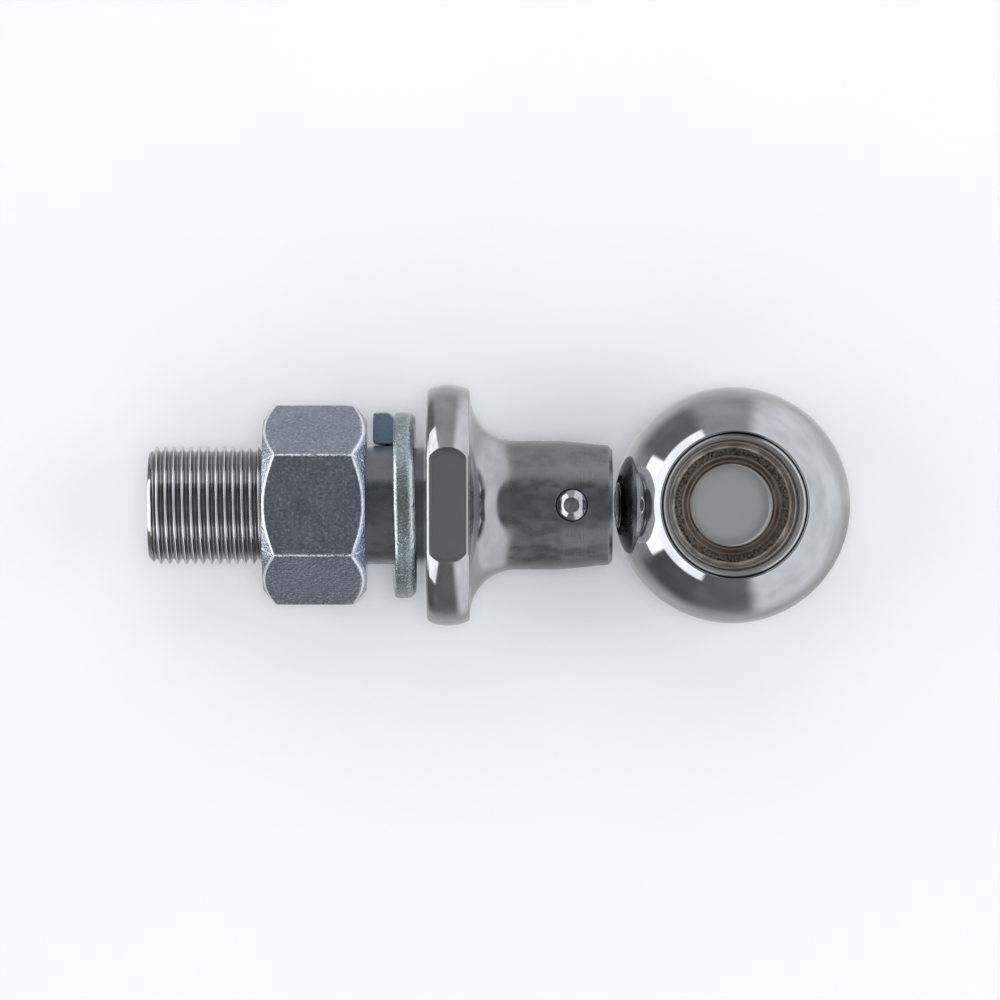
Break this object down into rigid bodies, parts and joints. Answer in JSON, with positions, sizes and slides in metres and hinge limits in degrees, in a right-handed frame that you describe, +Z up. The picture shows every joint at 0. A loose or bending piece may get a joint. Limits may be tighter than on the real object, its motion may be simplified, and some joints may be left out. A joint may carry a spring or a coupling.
{
  "type": "interchangeable trailer hitch ball kit",
  "caption": "Trailer hitch ball kit laid flat: threaded shank with collar, hex nut and split washer, and a separate bored tow ball that locks onto its post.",
  "frame": {"origin": "centre of the collar's seat face, on the shank's axis", "axes": "+X along the shank, from the seat face to the post's end and the loose tow ball; +Z up, out of the tow ball's socket"},
  "size_m": [0.1507, 0.0518, 0.046],
  "materials": {
    "shank_steel": "nickel plated forging, polished on the collar and cove, satin on the post",
    "nut_zinc": "clear zinc plate, slightly grainy",
    "washer_zinc": "blue-bright zinc plate",
    "ball_chrome": "polished chrome plate",
    "plunger_steel": "turned steel, lightly oiled",
    "seal_rubber": "matt black nitrile",
    "spring_steel": "drawn spring wire",
    "ring_steel": "black phosphate",
    "lock_ball_steel": "polished bearing steel"
  },
  "bodies": {
    "shank_assembly": {"shank": "shank_steel", "retaining_ring": "ring_steel", "plunger_spring": "spring_steel"},
    "lock_washer": {"lock_washer": "washer_zinc"},
    "hex_nut": {"hex_nut": "nut_zinc"},
    "tow_ball": {"tow_ball": "ball_chrome"},
    "plunger": {"plunger": "plunger_steel", "plunger_o_ring": "seal_rubber"},
    "locking_ball_1": {"locking_ball_1": "lock_ball_steel"},
    "locking_ball_2": {"locking_ball_2": "lock_ball_steel"},
    "locking_ball_3": {"locking_ball_3": "lock_ball_steel"}
  },
  "joints": [
    {"name": "washer_travel", "type": "slide", "parent": "shank_assembly", "child": "lock_washer", "axis": [1, 0, 0], "range_m": [-0.02359, 0]},
    {"name": "nut_turn", "type": "hinge", "parent": "lock_washer", "child": "hex_nut", "pos_m": [-0.02405, 0, 0], "axis": [1, 0, 0], "range_deg": [-4680, 0]},
    {"name": "ball_draw_off", "type": "slide", "parent": "shank_assembly", "child": "tow_ball", "axis": [1, 0, 0], "range_m": [0, 0.05]},
    {"name": "plunger_press", "type": "slide", "parent": "shank_assembly", "child": "plunger", "axis": [-1, 0, 0], "range_m": [0, 0.005], "stiffness_N_per_m": 900, "springref_m": -0.004, "deforming": ["plunger_spring"]},
    {"name": "lock_sink_1", "type": "slide", "parent": "shank_assembly", "child": "locking_ball_1", "axis": [0, 0, -1], "range_m": [0, 0.0015]},
    {"name": "lock_sink_2", "type": "slide", "parent": "shank_assembly", "child": "locking_ball_2", "axis": [0, -0.866, 0.5], "range_m": [0, 0.0015]},
    {"name": "lock_sink_3", "type": "slide", "parent": "shank_assembly", "child": "locking_ball_3", "axis": [0, 0.866, 0.5], "range_m": [0, 0.0015]}
  ],
  "couplings": [
    {"joint": "washer_travel", "follows": "nut_turn", "m_per_rad": 0.00028875},
    {"joint": "lock_sink_1", "follows": "plunger_press", "ratio": 0.3},
    {"joint": "lock_sink_2", "follows": "plunger_press", "ratio": 0.3},
    {"joint": "lock_sink_3", "follows": "plunger_press", "ratio": 0.3}
  ]
}
